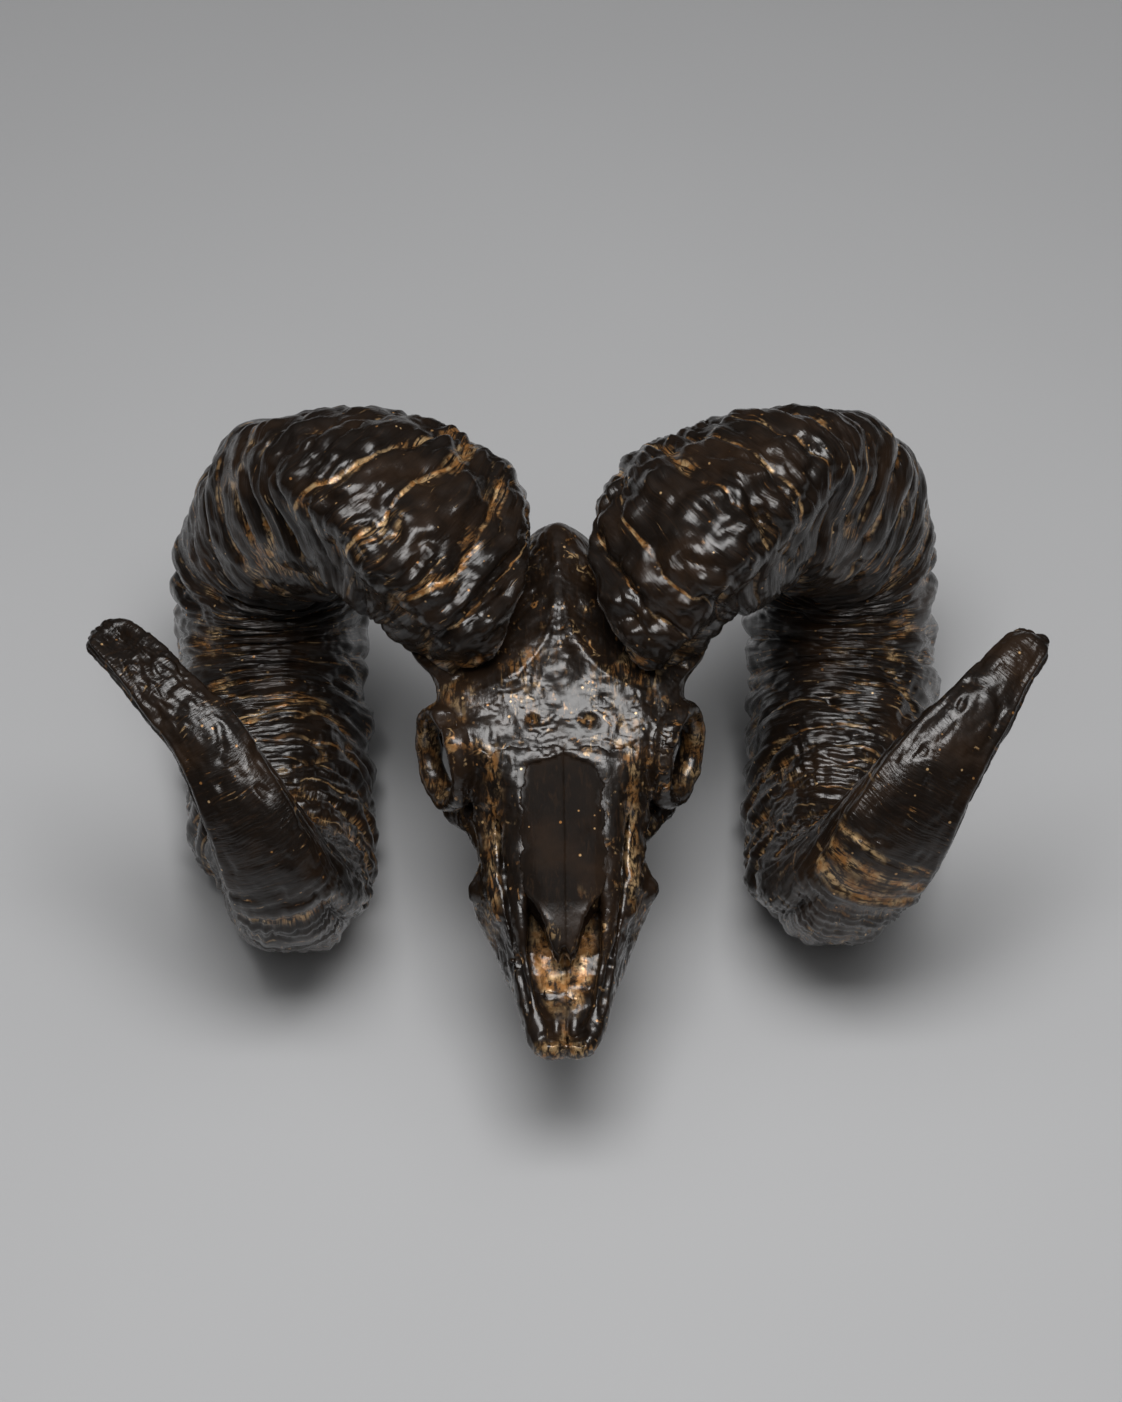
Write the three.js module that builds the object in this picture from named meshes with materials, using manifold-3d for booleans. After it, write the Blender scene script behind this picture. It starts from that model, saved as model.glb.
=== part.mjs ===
// A life-size cast of a ram's skull, without its lower jaw, with a full curl of horn on each side.
//
// Millimetres, +Z up. The nose points to -Y, so the animal's left is +X. The cast stands on the lowest
// stretch of its two horns, with the nose clear of the ground. Sizes are in the skull's own frame: x from
// the mid-plane, y backward from the tip of the upper jaw and z up from the plane of the palate. The last
// lines move that frame so that its origin is under the middle of the whole cast.
import * as THREE from "three";
import { mergeVertices } from "three/addons/utils/BufferGeometryUtils.js";
import Module from "manifold-3d";

const wasm = await Module();
wasm.setup();

// ---- Driving dimensions -------------------------------------------------------------------------

const GAP = 0.3; // between neighbouring pieces
const FLOOR = -70; // height of the ground, under the palate's plane
const FAR = 900; // longer than anything here, for the blocks that cut
const SAME_POINT = 1e-4; // points nearer than this are one
const BALL_FACETS = [12, 8]; // round and high, of each ball

// The horn winds round an axis that runs across the skull behind the ears, in a coil longer than it is high.
const COIL = { y: 200, z: 46, reach: 105, rise: 82 };

// Stations along a horn: turn round the axis in degrees (0 forward, 90 up), how far out from the axis as a
// share of the coil, distance from the mid-plane, and the width and depth of the section.
const HORN = [
  { turn: 82, spread: 0.42, side: 25, width: 80, depth: 64 },
  { turn: 93, spread: 0.72, side: 43, width: 96, depth: 80 },
  { turn: 103, spread: 0.97, side: 65, width: 116, depth: 88 },
  { turn: 124, spread: 1.01, side: 97, width: 111, depth: 90 },
  { turn: 151, spread: 0.95, side: 130, width: 108, depth: 87 },
  { turn: 192, spread: 1.0, side: 148, width: 115, depth: 84 },
  { turn: 234, spread: 1.02, side: 149, width: 116, depth: 80 },
  { turn: 268, spread: 0.98, side: 143, width: 112, depth: 76 },
  { turn: 296, spread: 0.99, side: 136, width: 104, depth: 70 },
];
const LIMBS = {
  right: [
    { turn: 322, spread: 1.03, side: 130, width: 90, depth: 62 },
    { turn: 345, spread: 1.0, side: 131, width: 66, depth: 54 },
    { turn: 372, spread: 0.95, side: 143, width: 50, depth: 45 },
    { turn: 396, spread: 0.9, side: 162, width: 40, depth: 37 },
    { turn: 411, spread: 0.87, side: 182, width: 32, depth: 31 },
    { turn: 424, spread: 0.84, side: 201, width: 27, depth: 26 },
    { turn: 431, spread: 0.83, side: 212, width: 22, depth: 21 },
    { turn: 433, spread: 0.83, side: 215, width: 12, depth: 12 },
  ],
  left: [
    { turn: 322, spread: 1.03, side: 132, width: 90, depth: 62 },
    { turn: 345, spread: 0.99, side: 139, width: 74, depth: 54 },
    { turn: 368, spread: 0.95, side: 155, width: 62, depth: 46 },
    { turn: 388, spread: 0.91, side: 174, width: 50, depth: 38 },
    { turn: 403, spread: 0.88, side: 193, width: 37, depth: 31 },
    { turn: 416, spread: 0.86, side: 209, width: 28, depth: 26 },
    { turn: 424, spread: 0.85, side: 220, width: 22, depth: 21 },
    { turn: 426, spread: 0.85, side: 223, width: 14, depth: 12 },
  ],
};
const HORN_CUTS = [0, 2.5, 4.5, 6.3, 8.4, 10.8, 16]; // in stations, where a horn is divided
const HORN_GAP = GAP / 50; // in stations, between two lengths
// Flat faces of the left horn's base: its inner side, and the rim that sits on a stump of bone.
const HORN_PARTING = { through: [13, 205, 100], towards: [1, 0.24, 0] };
const HORN_RIM = { through: [43, 165, 92], towards: [0.3, -0.2, 0.93] };
const STUMP_INSET = 6; // of the stump behind the rim's edge
const HORN_SIDES = 16;
const HORN_STEP = 0.36; // stations between two rings
const HORN_REACH = 0.05; // stations to each side of a place, to find the horn's direction there
const HORN_SQUARENESS = 2.5; // of the section's corners
const HORN_NARROWING = 0.4; // how much narrower the section's inner edge is than its outer face

// Stations along the skull: the height of its top, the half width and height of the roof's edge, the same
// where its side is widest, and the same of its lower edge.
const SKULL = [
  { y: 4, top: 12, edge: 9, edgeZ: 12, wide: 14, wideZ: 9, low: 11, lowZ: 5 },
  { y: 10, top: 15, edge: 13, edgeZ: 16, wide: 17, wideZ: 11, low: 14, lowZ: 3 },
  { y: 20, top: 18, edge: 15, edgeZ: 21, wide: 19, wideZ: 13, low: 15, lowZ: 2 },
  { y: 34, top: 34, edge: 17, edgeZ: 31, wide: 22, wideZ: 16, low: 18, lowZ: 3 },
  { y: 52, top: 47, edge: 22, edgeZ: 43, wide: 27, wideZ: 18, low: 25, lowZ: 0 },
  { y: 70, top: 56, edge: 24, edgeZ: 50, wide: 33, wideZ: 21, low: 30, lowZ: 0 },
  { y: 86, top: 63, edge: 25, edgeZ: 57, wide: 41, wideZ: 25, low: 34, lowZ: 0 },
  { y: 102, top: 70, edge: 27, edgeZ: 64, wide: 38, wideZ: 31, low: 35, lowZ: 0 },
  { y: 118, top: 77, edge: 34, edgeZ: 71, wide: 36, wideZ: 37, low: 32, lowZ: 2 },
  { y: 134, top: 84, edge: 47, edgeZ: 78, wide: 35, wideZ: 44, low: 24, lowZ: 10 },
  { y: 150, top: 91, edge: 55, edgeZ: 82, wide: 36, wideZ: 48, low: 20, lowZ: 14 },
  { y: 166, top: 98, edge: 57, edgeZ: 84, wide: 40, wideZ: 54, low: 20, lowZ: 12 },
  { y: 186, top: 107, edge: 50, edgeZ: 86, wide: 42, wideZ: 56, low: 22, lowZ: 10 },
  { y: 206, top: 114, edge: 36, edgeZ: 90, wide: 43, wideZ: 54, low: 24, lowZ: 8 },
  { y: 226, top: 118, edge: 30, edgeZ: 92, wide: 42, wideZ: 50, low: 26, lowZ: 8 },
  { y: 244, top: 116, edge: 26, edgeZ: 86, wide: 39, wideZ: 46, low: 28, lowZ: 10 },
  { y: 256, top: 96, edge: 18, edgeZ: 72, wide: 30, wideZ: 44, low: 20, lowZ: 16 },
];
const SKULL_STEP = 0.5; // stations between two rings
const SKULL_CORNER_STEPS = 3; // points between two corners of a section

// The rim of the eye socket is a ring that faces outward, a little forward and up.
const EYE = { x: 55, y: 142, z: 59, radius: 22, rim: 5.5, forward: 22, up: 8, facets: [8, 22] };
const SOCKET = { x: 54, radius: 23 }; // the hollow behind the rim

// The arch of the cheek runs from the jaw under the eye to the side of the braincase.
const CHEEK = {
  route: [
    [32, 104, 30],
    [41, 121, 30],
    [52, 136, 30],
    [62, 152, 36],
    [62, 168, 42],
    [50, 187, 47],
    [34, 202, 50],
  ],
  halfThick: 5,
  halfHigh: 8,
  steps: 10,
  curveSegments: 5,
};

// The cheek teeth of one side. Each crown tapers from its root share of the pitch to its crown share.
const TEETH = { count: 6, from: 58, to: 126, width: 11, height: 8, near: 23, far: 31, gap: 1.2 };
const TOOTH_TAPER = { crown: 0.56, root: 0.72, sides: 4 };

// The nostrils' opening runs back under the free tips of the nasal bones.
const NOSE = { y: 42, z: 25, halfWide: 13, halfLong: 34, halfHigh: 11 };
// Half of the nasal bones' outline from above. Past the notch at each side, they end in narrow free tips.
const NASAL_PLAN = [
  [0, 128],
  [9, 125],
  [18, 106],
  [20, 82],
  [19, 63],
  [16, 59],
  [9, 58],
  [6, 47],
  [3, 40],
];
const NASAL_THICK = 9;
const NASAL_SLOPE = { y: 32, z: 35, rise: 0.44 }; // of the line along the nasal bones

const CONDYLE = { x: 14, y: 255, z: 30, radius: 12 };

// Flat cuts between the bones, each through a point and square to a direction.
const SUTURES = {
  premaxilla: { through: [0, 40, 20], towards: [0, -0.8, 0.6] },
  face: { through: [0, 126, 60], towards: [0, -1, 0.1] },
  roof: { through: [0, 160, 66], towards: [0, 0.1, 1] },
};

// ---- Small helpers ------------------------------------------------------------------------------

const radians = THREE.MathUtils.degToRad;
const signs = { left: 1, right: -1 };

// A smooth curve's value at t between b and c, with a and d on either side of them.
function between(a, b, c, d, t) {
  return b + 0.5 * t * (c - a + t * (2 * a - 5 * b + 4 * c - d + t * (3 * (b - c) + d - a)));
}

// The value of one key at a place between stations, on a curve through them all.
function along(stations, key, place) {
  const last = stations.length - 1;
  const i = Math.min(Math.floor(place), last - 1);
  const at = (k) => stations[Math.max(0, Math.min(last, k))][key];
  return between(at(i - 1), at(i), at(i + 1), at(i + 2), place - i);
}

// A closed solid through rings of points, with a flat fan over each end.
function loft(rings) {
  const sides = rings[0].length;
  const points = rings.flat();
  const faces = [];
  for (let r = 0; r < rings.length - 1; r++) {
    for (let k = 0; k < sides; k++) {
      const a = r * sides + k;
      const b = r * sides + ((k + 1) % sides);
      faces.push([a, b, b + sides], [a, b + sides, a + sides]);
    }
  }
  for (const [start, turned] of [[0, true], [(rings.length - 1) * sides, false]]) {
    const middle = points.length;
    const ring = points.slice(start, start + sides);
    points.push(ring.reduce((sum, p) => sum.add(p), new THREE.Vector3()).divideScalar(sides));
    for (let k = 0; k < sides; k++) {
      const [a, b] = [start + k, start + ((k + 1) % sides)];
      faces.push(turned ? [middle, b, a] : [middle, a, b]);
    }
  }
  const geometry = new THREE.BufferGeometry().setFromPoints(points);
  geometry.setIndex(faces.flat());
  return solid(geometry);
}

// A geometry as a solid that faces out, whichever way round it came.
function solid(geometry) {
  const bare = new THREE.BufferGeometry();
  bare.setAttribute("position", geometry.getAttribute("position"));
  bare.setIndex(geometry.index);
  const merged = mergeVertices(bare, SAME_POINT);
  const build = (turned) => {
    const triVerts = new Uint32Array(merged.index.array);
    if (turned) {
      for (let i = 0; i < triVerts.length; i += 3) {
        [triVerts[i + 1], triVerts[i + 2]] = [triVerts[i + 2], triVerts[i + 1]];
      }
    }
    const vertProperties = new Float32Array(merged.attributes.position.array);
    return new wasm.Manifold(new wasm.Mesh({ numProp: 3, vertProperties, triVerts }));
  };
  const made = build(false);
  return made.volume() < 0 ? build(true) : made;
}

// A cut given for the animal's left, put on the side that sign says.
function mirrored({ through: [x, y, z], towards: [a, b, c] }, sign) {
  return { through: [sign * x, y, z], towards: [sign * a, b, c] };
}

// A block that fills everything on one side of a flat cut, from half a gap beyond it, less what grow says.
function beyond({ through, towards }, sign, grow = 0) {
  const turn = new THREE.Quaternion().setFromUnitVectors(
    new THREE.Vector3(0, 0, 1),
    new THREE.Vector3(...towards).normalize(),
  );
  const block = new THREE.BoxGeometry(FAR, FAR, FAR).translate(0, 0, sign * ((FAR + GAP) / 2 - grow));
  return solid(block.applyQuaternion(turn).translate(...through));
}

// The two sides of a flat cut, the one that the cut's direction points to first.
function split(whole, cut) {
  return [whole.intersect(beyond(cut, 1)), whole.intersect(beyond(cut, -1))];
}

// ---- Horns --------------------------------------------------------------------------------------

// The ring of a horn's section at a place along it. sign is 1 on the animal's left, at +X.
function hornRing(stations, sign, place, grow) {
  const value = (key, at = place) => along(stations, key, at);
  const centre = (at) => {
    const turn = radians(value("turn", at));
    return new THREE.Vector3(
      sign * value("side", at),
      COIL.y - COIL.reach * value("spread", at) * Math.cos(turn),
      COIL.z + COIL.rise * value("spread", at) * Math.sin(turn),
    );
  };
  const turn = radians(value("turn"));
  const limit = (at) => Math.max(0, Math.min(stations.length - 1, at));
  const ahead = centre(limit(place + HORN_REACH));
  const tangent = ahead.sub(centre(limit(place - HORN_REACH))).normalize();
  const outward = new THREE.Vector3(0, -Math.cos(turn) / COIL.reach, Math.sin(turn) / COIL.rise);
  outward.addScaledVector(tangent, -outward.dot(tangent)).normalize();
  const across = new THREE.Vector3().crossVectors(tangent, outward).multiplyScalar(-sign);
  const ring = [];
  for (let k = 0; k < HORN_SIDES; k++) {
    const angle = (2 * Math.PI * k) / HORN_SIDES;
    const squared = (x) => Math.sign(x) * Math.abs(x) ** (2 / HORN_SQUARENESS);
    const n = squared(Math.sin(angle));
    const u = squared(Math.cos(angle)) * (1 - (HORN_NARROWING * (1 - n)) / 2);
    ring.push(
      centre(place)
        .addScaledVector(across, u * (value("width") / 2 + grow))
        .addScaledVector(outward, n * (value("depth") / 2 + grow)),
    );
  }
  return ring;
}

function hornSweep(side, from, to, grow = 0) {
  const stations = [...HORN, ...LIMBS[side]];
  const sign = signs[side];
  const steps = Math.max(2, Math.round((to - from) / HORN_STEP));
  const rings = [];
  for (let s = 0; s <= steps; s++) {
    rings.push(hornRing(stations, sign, from + ((to - from) * s) / steps, grow));
  }
  return loft(rings).intersect(beyond(mirrored(HORN_PARTING, sign), 1));
}

function hornLength(side, from, to, grow = 0) {
  const ground = { through: [0, 0, FLOOR - GAP / 2], towards: [0, 0, 1] };
  const length = hornSweep(side, from, to, grow).intersect(beyond(ground, 1));
  return from > 0 ? length : length.intersect(beyond(mirrored(HORN_RIM, signs[side]), 1, grow));
}

// The stump of bone that a horn sits on.
function stump(side) {
  const rim = mirrored(HORN_RIM, signs[side]);
  return hornSweep(side, 0, HORN_CUTS[1], -STUMP_INSET).intersect(beyond(rim, -1));
}

// ---- Skull --------------------------------------------------------------------------------------

function skullRing(place) {
  const value = (key) => along(SKULL, key, place);
  const corners = [
    [0, value("top")],
    [value("edge"), value("edgeZ")],
    [value("wide"), value("wideZ")],
    [value("low"), value("lowZ")],
    [0, value("lowZ")],
    [-value("low"), value("lowZ")],
    [-value("wide"), value("wideZ")],
    [-value("edge"), value("edgeZ")],
  ];
  const count = corners.length;
  const ring = [];
  for (let corner = 0; corner < count; corner++) {
    const [before, start, end, after] = [-1, 0, 1, 2].map((step) => corners[(corner + step + count) % count]);
    for (let step = 0; step < SKULL_CORNER_STEPS; step++) {
      const part = step / SKULL_CORNER_STEPS;
      const x = between(before[0], start[0], end[0], after[0], part);
      const z = between(before[1], start[1], end[1], after[1], part);
      ring.push(new THREE.Vector3(x, value("y"), z));
    }
  }
  return ring;
}

function skullBody() {
  const last = SKULL.length - 1;
  const rings = [];
  for (let place = 0; place <= last; place += SKULL_STEP) {
    rings.push(skullRing(place));
  }
  return loft(rings);
}

function ball(x, y, z, radius) {
  return solid(new THREE.SphereGeometry(radius, ...BALL_FACETS).translate(x, y, z));
}

function eyeRim(sign, grow = 0) {
  const ring = new THREE.TorusGeometry(EYE.radius, EYE.rim + grow, ...EYE.facets);
  ring.rotateY(Math.PI / 2 - radians(EYE.up));
  ring.rotateZ(radians(-EYE.forward));
  ring.translate(EYE.x, EYE.y, EYE.z);
  if (sign < 0) {
    ring.scale(-1, 1, 1);
  }
  return solid(ring);
}

function cheekArch(sign) {
  const route = new THREE.CatmullRomCurve3(CHEEK.route.map(([x, y, z]) => new THREE.Vector3(sign * x, y, z)));
  const section = new THREE.Shape().absellipse(0, 0, CHEEK.halfHigh, CHEEK.halfThick, 0, 2 * Math.PI);
  const { steps, curveSegments } = CHEEK;
  return solid(new THREE.ExtrudeGeometry(section, { extrudePath: route, steps, curveSegments }));
}

function toothRow(sign) {
  const pitch = (TEETH.to - TEETH.from) / TEETH.count;
  const length = pitch - TEETH.gap;
  const [top, bottom] = [TOOTH_TAPER.crown * length, TOOTH_TAPER.root * length];
  let row;
  for (let number = 0; number < TEETH.count; number++) {
    const part = (number + 0.5) / TEETH.count;
    const x = THREE.MathUtils.lerp(TEETH.near, TEETH.far, part);
    const y = THREE.MathUtils.lerp(TEETH.from, TEETH.to, part);
    const crown = new THREE.CylinderGeometry(top, bottom, TEETH.height * 2, TOOTH_TAPER.sides);
    crown.rotateY(Math.PI / 4).rotateX(-Math.PI / 2).scale(TEETH.width / pitch, 1, 1);
    const tooth = solid(crown.translate(sign * x, y, 0));
    row = row ? row.add(tooth) : tooth;
  }
  return row;
}

function nasalBlock(grow) {
  const outline = [...NASAL_PLAN, ...NASAL_PLAN.map(([x, y]) => [-x, y]).reverse()];
  const shape = new THREE.Shape(outline.map(([x, y]) => new THREE.Vector2(x + Math.sign(x) * grow, y)));
  const column = new THREE.ExtrudeGeometry(shape, { depth: FAR, bevelEnabled: false });
  const prism = solid(column.translate(0, 0, -FAR / 2));
  const under = { y: NASAL_SLOPE.y, z: NASAL_SLOPE.z - NASAL_THICK - grow };
  return prism.intersect(beyond({ through: [0, under.y, under.z], towards: [0, -NASAL_SLOPE.rise, 1] }, 1));
}

// ---- Assembly -----------------------------------------------------------------------------------

const skull = new THREE.Group();

const FINISHES = {
  horn: { color: 0x241a13, roughness: 0.32, metalness: 0.75 },
  bone: { color: 0x33261b, roughness: 0.3, metalness: 0.75 },
  worn: { color: 0x6b4a2a, roughness: 0.38, metalness: 0.75 },
};

function add(name, manifold, finish) {
  const mesh = manifold.getMesh();
  const geometry = new THREE.BufferGeometry();
  geometry.setAttribute("position", new THREE.BufferAttribute(mesh.vertProperties, mesh.numProp));
  geometry.setIndex(new THREE.BufferAttribute(mesh.triVerts, 1));
  const piece = new THREE.Mesh(geometry, new THREE.MeshStandardMaterial(FINISHES[finish]));
  piece.name = name;
  skull.add(piece);
}

let bones = skullBody();
for (const [side, sign] of Object.entries(signs)) {
  bones = bones.subtract(ball(sign * SOCKET.x, EYE.y, EYE.z, SOCKET.radius));
  bones = bones.add(cheekArch(sign)).add(toothRow(sign)).add(stump(side));
  bones = bones.add(ball(sign * CONDYLE.x, CONDYLE.y, CONDYLE.z, CONDYLE.radius));
}
const nostrils = new THREE.SphereGeometry(1, ...BALL_FACETS);
nostrils.scale(NOSE.halfWide, NOSE.halfLong, NOSE.halfHigh).translate(0, NOSE.y, NOSE.z);
const nasals = bones.intersect(nasalBlock(0));
bones = bones.subtract(nasalBlock(GAP)).subtract(solid(nostrils));

for (const [side, sign] of Object.entries(signs)) {
  bones = bones.subtract(hornLength(side, 0, HORN_CUTS[1], GAP)).subtract(eyeRim(sign, GAP));
  add(`eye_rim_${side}`, eyeRim(sign), "bone");
  for (let c = 0; c < HORN_CUTS.length - 1; c++) {
    const from = HORN_CUTS[c] + (c ? HORN_GAP : 0);
    add(`horn_${side}_${c + 1}`, hornLength(side, from, HORN_CUTS[c + 1]), "horn");
  }
}

const midline = { through: [0, 0, 0], towards: [1, 0, 0] };
const [premaxillae, behind] = split(bones, SUTURES.premaxilla);
const [face, back] = split(behind, SUTURES.face);
const [roof, braincase] = split(back, SUTURES.roof);
for (const [name, pair, finish] of [
  ["nasal", nasals, "bone"],
  ["premaxilla", premaxillae, "worn"],
  ["maxilla", face, "bone"],
]) {
  const [left, right] = split(pair, midline);
  add(`${name}_left`, left, finish);
  add(`${name}_right`, right, finish);
}
add("frontal", roof, "bone");
add("braincase", braincase, "bone");

const extent = new THREE.Box3().setFromObject(skull);
const middle = extent.getCenter(new THREE.Vector3());
skull.position.set(-middle.x, -middle.y, -extent.min.z);

export default skull;
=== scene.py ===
"""A life-size dark bronze cast of a ram's skull, rubbed with gold, on a pale grey floor.

Shapes are worked out in millimetres in the skull's own frame: x from the mid-plane with the animal's left at
+x, y backward from the tip of the upper jaw and z up from the plane of the palate. place() puts them in the
model's frame.
"""
import math
from itertools import product

import bpy
import bmesh
import numpy as np
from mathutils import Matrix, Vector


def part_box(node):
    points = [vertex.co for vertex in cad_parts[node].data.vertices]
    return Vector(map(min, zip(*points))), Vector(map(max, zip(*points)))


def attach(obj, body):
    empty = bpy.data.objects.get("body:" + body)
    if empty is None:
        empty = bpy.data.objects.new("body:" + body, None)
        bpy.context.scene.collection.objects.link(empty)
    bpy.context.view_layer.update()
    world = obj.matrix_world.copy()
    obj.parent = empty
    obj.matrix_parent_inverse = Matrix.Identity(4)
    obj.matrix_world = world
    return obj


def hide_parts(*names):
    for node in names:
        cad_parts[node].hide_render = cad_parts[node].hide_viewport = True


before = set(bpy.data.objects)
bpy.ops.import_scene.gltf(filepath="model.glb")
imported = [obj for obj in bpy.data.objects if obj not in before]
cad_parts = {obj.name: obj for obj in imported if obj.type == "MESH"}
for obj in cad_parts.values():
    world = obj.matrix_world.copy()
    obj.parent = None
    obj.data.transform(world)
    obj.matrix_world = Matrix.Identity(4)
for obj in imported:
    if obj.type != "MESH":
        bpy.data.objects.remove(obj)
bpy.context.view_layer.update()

import openvdb
from mathutils import Vector

# ---- Where the skull's own frame lies ----

MM = 0.001
NOSE_TIP_Y = 4.0  # of the bone, in the skull's own frame
GROUND_Z = -70.0  # the surface that the cast stands on
ORIGIN = np.array([
    (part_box("nasal_left")[0][0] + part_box("nasal_right")[1][0]) / 2 / MM,
    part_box("premaxilla_left")[0][1] / MM - NOSE_TIP_Y,
    -GROUND_Z,
])


def place(points):
    """Millimetres in the skull's own frame to metres in the model's."""
    return (np.asarray(points, float) + ORIGIN) * MM


def add(name, data):
    """A new object in the scene."""
    thing = bpy.data.objects.new(name, data)
    bpy.context.collection.objects.link(thing)
    return thing


# ---- Camera ----

CAMERA_SPOT = (-15.8, -866.5, 1178.7)
CAMERA_TOWARDS = (0.0107, 0.6819, -0.7314)
CAMERA_LENS = 54.17
CAMERA_SENSOR = 24.0


def make_camera():
    data = bpy.data.cameras.new("camera")
    data.sensor_fit = "VERTICAL"
    data.sensor_height = CAMERA_SENSOR
    data.lens = CAMERA_LENS
    camera = add("camera", data)
    camera.location = place(CAMERA_SPOT)
    camera.rotation_euler = Vector(CAMERA_TOWARDS).to_track_quat("-Z", "Y").to_euler()
    bpy.context.scene.camera = camera


# ---- Noise ----

GRADIENTS = np.random.default_rng(7).normal(size=(256, 3)).astype(np.float32)
GRADIENTS /= np.linalg.norm(GRADIENTS, axis=1, keepdims=True)
PRIMES = 73856093, 19349663, 83492791, 2654435761, 1274126177  # large ones, that scatter the cells
NOISE_GAIN = 1.7  # brings the noise to about -1 to 1


def noise(points, size, seed=0):
    """Smooth noise of about -1 to 1, with features of the given size. One number for each point."""
    spot = np.asarray(points, np.float32) / np.float32(size)
    cell = np.floor(spot)
    part = spot - cell
    cell = cell.astype(np.int64)
    fade = part * part * part * (part * (part * 6 - 15) + 10)
    total = np.zeros(spot.shape[:-1], np.float32)
    for corner in product((0, 1), repeat=3):
        x, y, z = (cell[..., axis] + corner[axis] for axis in range(3))
        mixed = (x * PRIMES[0]) ^ (y * PRIMES[1]) ^ (z * PRIMES[2]) ^ (seed * PRIMES[3])
        mixed = (mixed ^ (mixed >> 13)) * PRIMES[4]
        gradient = GRADIENTS[(mixed >> 8) & 255]
        weight = np.prod([fade[..., a] if corner[a] else 1 - fade[..., a] for a in range(3)], axis=0)
        total += weight * ((part - np.array(corner, np.float32)) * gradient).sum(-1)
    return total * NOISE_GAIN


def warped(points, size, amount, seed):
    """The points moved about by noise, for folds and swirls."""
    shift = np.stack([noise(points, size, seed + axis) for axis in range(3)], -1)
    return points + amount * shift


def smooth(low, high, value):
    """0 below low, 1 above high and an S-curve between. High may be the lower one."""
    t = np.clip((value - low) / (high - low), 0, 1)
    return t * t * (3 - 2 * t)


def bump(middle, reach, value):
    """1 at the middle, falling off to 0 on both sides."""
    return np.exp(-((value - middle) / reach) ** 2)


def through(stations, at):
    """Rows of numbers at places between the stations, on a smooth curve through them all."""
    rows = np.asarray(stations, float)
    last = len(rows) - 1
    first = np.clip(np.floor(at).astype(int), 0, last - 1)
    t = (at - first)[..., None]
    a, b, c, d = (rows[np.clip(first + step, 0, last)] for step in (-1, 0, 1, 2))
    return b + 0.5 * t * (c - a + t * (2 * a - 5 * b + 4 * c - d + t * (3 * (b - c) + d - a)))


# ---- Meshes ----


def vertex_normals(points, faces):
    """Unit normals of the vertices of a mesh of quads."""
    corners = points[faces]
    flat = np.cross(corners[:, 2] - corners[:, 0], corners[:, 3] - corners[:, 1])
    total = np.zeros_like(points)
    for axis in range(3):
        total[:, axis] = sum(
            np.bincount(faces[:, corner], flat[:, axis], minlength=len(points)) for corner in range(4)
        )
    return total / np.maximum(np.linalg.norm(total, axis=1, keepdims=True), 1e-9)


def make_piece(name, points, faces, masks, material, nodes):
    """A mesh piece in the model's frame, in place of the CAD nodes that are named."""
    mesh = bpy.data.meshes.new(name)
    mesh.from_pydata(place(points), [], faces.tolist())
    for mask, values in masks.items():
        attribute = mesh.attributes.new(mask, "FLOAT", "POINT")
        attribute.data.foreach_set("value", np.asarray(values, np.float32))
    mesh.polygons.foreach_set("use_smooth", [True] * len(mesh.polygons))
    mesh.materials.append(material)
    piece = add(name, mesh)
    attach(piece, "root")
    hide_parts(*nodes)


# ---- Horns ----

# The horn winds round an axis across the skull, on an ellipse. Each station holds the turn round that axis in
# degrees, how far out on the ellipse, the distance from the mid-plane, and the section's width and depth.
COIL_Y, COIL_Z, COIL_REACH, COIL_RISE = 200, 46, 105, 82
HORN = [
    (82, 0.42, 25, 80, 64), (93, 0.72, 43, 96, 80), (103, 0.97, 65, 116, 88),
    (124, 1.01, 97, 111, 90), (151, 0.95, 130, 108, 87), (192, 1.0, 148, 115, 84),
    (234, 1.02, 149, 116, 80), (268, 0.98, 143, 112, 76), (296, 0.99, 136, 104, 70),
]
LIMBS = {
    "right": [
        (322, 1.03, 130, 90, 62), (345, 1.0, 131, 66, 54), (372, 0.95, 143, 50, 45),
        (396, 0.9, 162, 40, 37), (411, 0.87, 182, 33, 32), (424, 0.84, 201, 30, 28),
        (431, 0.83, 212, 26, 24), (433, 0.83, 215, 16, 15),
    ],
    "left": [
        (322, 1.03, 132, 90, 62), (345, 0.99, 139, 74, 54), (368, 0.95, 155, 62, 46),
        (388, 0.91, 174, 50, 38), (403, 0.88, 193, 37, 31), (416, 0.86, 209, 28, 26),
        (424, 0.85, 220, 22, 21), (426, 0.85, 223, 14, 12),
    ],
}
SIGNS = {"left": 1, "right": -1}
HORN_SEEDS = {"left": 53, "right": 11}
HEEL_LOSS = {"left": 19.0, "right": 14.0}  # off the outer corner of the section at the bottom of the loop
TOE_LOSS = 11.0  # off the inner corner there
SHOULDER_LOSS = {"left": 0.0, "right": 6.5}  # off the outer corner where the horn turns down
INNER_GAIN = {"left": 2.5, "right": 6.0}  # on the base's inner side, toward the other horn
CORNER_LOSS = {"left": (50, 31, 9.0), "right": (42, 20, 3.5)}  # near the base: angle, reach and depth
HORN_ROWS = 560
HORN_SIDES = 172
SQUARENESS = 2.5  # of the section: 2 is an ellipse, and more is squarer
NARROWING = 0.4  # the share by which the section is narrower on the inside of the curl than on the outside
TIP_DOME, TIP_ROWS = 3.2, 9  # the height of the dome that closes the tip, and its rows with both ends
PARTING = ((9.5, 205, 100), (1, 0.2, 0))  # the base's flat inner side: a point and a direction, on the left
RIM = ((43, 165, 92), (0.3, -0.2, 0.93))  # the base's rim
CORNER = (1.0, 0.75, 12.0)  # shares of the rim's and the side's directions, and how much is cut off
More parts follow.
